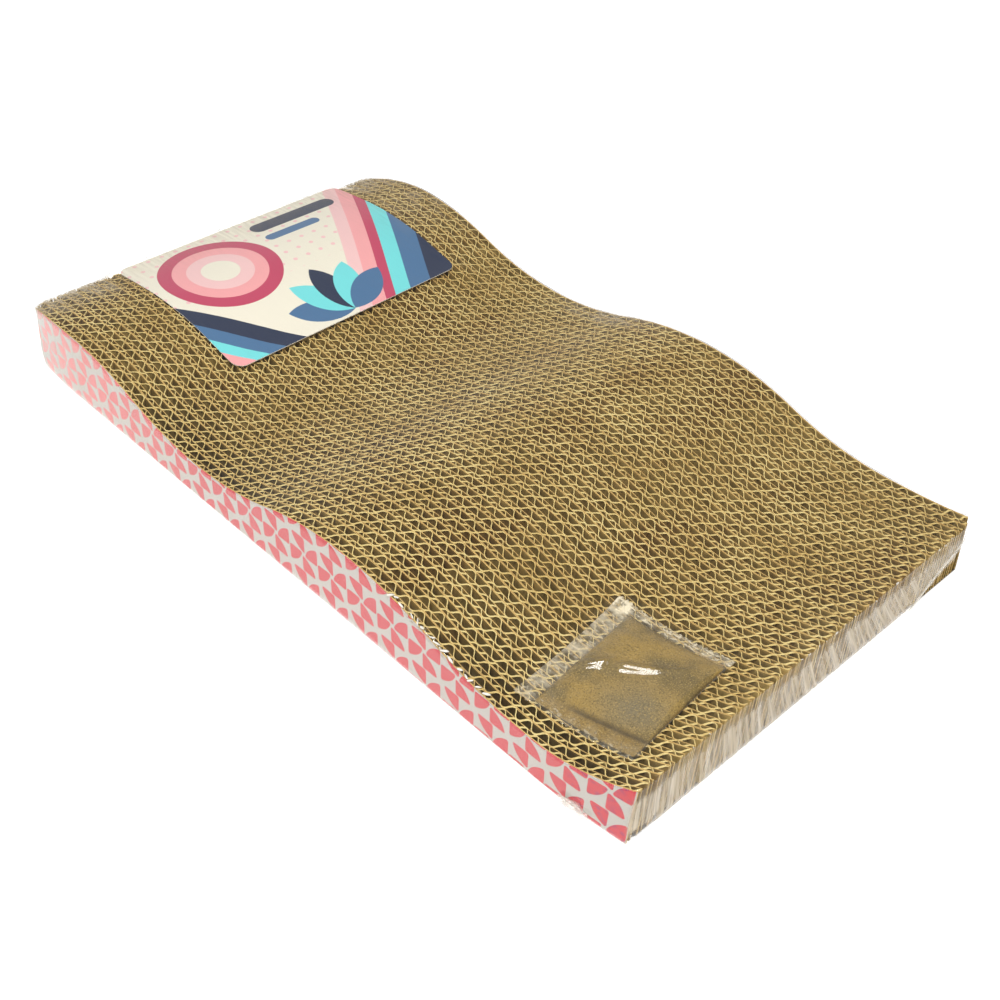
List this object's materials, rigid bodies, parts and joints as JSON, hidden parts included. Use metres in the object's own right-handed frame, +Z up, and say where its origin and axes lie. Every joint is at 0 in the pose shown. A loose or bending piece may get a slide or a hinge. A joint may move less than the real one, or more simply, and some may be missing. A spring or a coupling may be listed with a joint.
{
  "type": "wavy cardboard cat scratcher",
  "caption": "Wavy scratching pad of corrugated board strips on edge, with printed sides, a label card and a catnip sachet under clear shrink film.",
  "frame": {"origin": "on the table under the middle of the pad", "axes": "+X along the board strips towards the sachet end, +Y across the strips away from the near printed side, +Z up"},
  "size_m": [0.44, 0.2476, 0.0404],
  "materials": {
    "kraft_board": "matte brown corrugated board with paler cut edges",
    "printed_paper": "off-white paper printed with pink segments",
    "glue": "dried white board glue",
    "label_card": null,
    "clear_film": "clear glossy film",
    "dried_herb": "ground dried herb"
  },
  "bodies": {
    "root": {"strip_01": "kraft_board", "strip_02": "kraft_board", "strip_03": "kraft_board", "strip_04": "kraft_board", "strip_05": "kraft_board", "strip_06": "kraft_board", "strip_07": "kraft_board", "strip_08": "kraft_board", "strip_09": "kraft_board", "strip_10": "kraft_board", "strip_11": "kraft_board", "strip_12": "kraft_board", "strip_13": "kraft_board", "strip_14": "kraft_board", "strip_15": "kraft_board", "strip_16": "kraft_board", "strip_17": "kraft_board", "strip_18": "kraft_board", "strip_19": "kraft_board", "strip_20": "kraft_board", "strip_21": "kraft_board", "strip_22": "kraft_board", "strip_23": "kraft_board", "strip_24": "kraft_board", "strip_25": "kraft_board", "strip_26": "kraft_board", "strip_27": "kraft_board", "strip_28": "kraft_board", "strip_29": "kraft_board", "strip_30": "kraft_board", "strip_31": "kraft_board", "strip_32": "kraft_board", "strip_33": "kraft_board", "strip_34": "kraft_board", "strip_35": "kraft_board", "strip_36": "kraft_board", "strip_37": "kraft_board", "strip_38": "kraft_board", "printed_side_near": "printed_paper", "printed_side_far": "printed_paper", "glue_lines": "glue", "label_card": "label_card", "catnip_pouch": "clear_film", "catnip_herb": "dried_herb"}
  },
  "joints": []
}
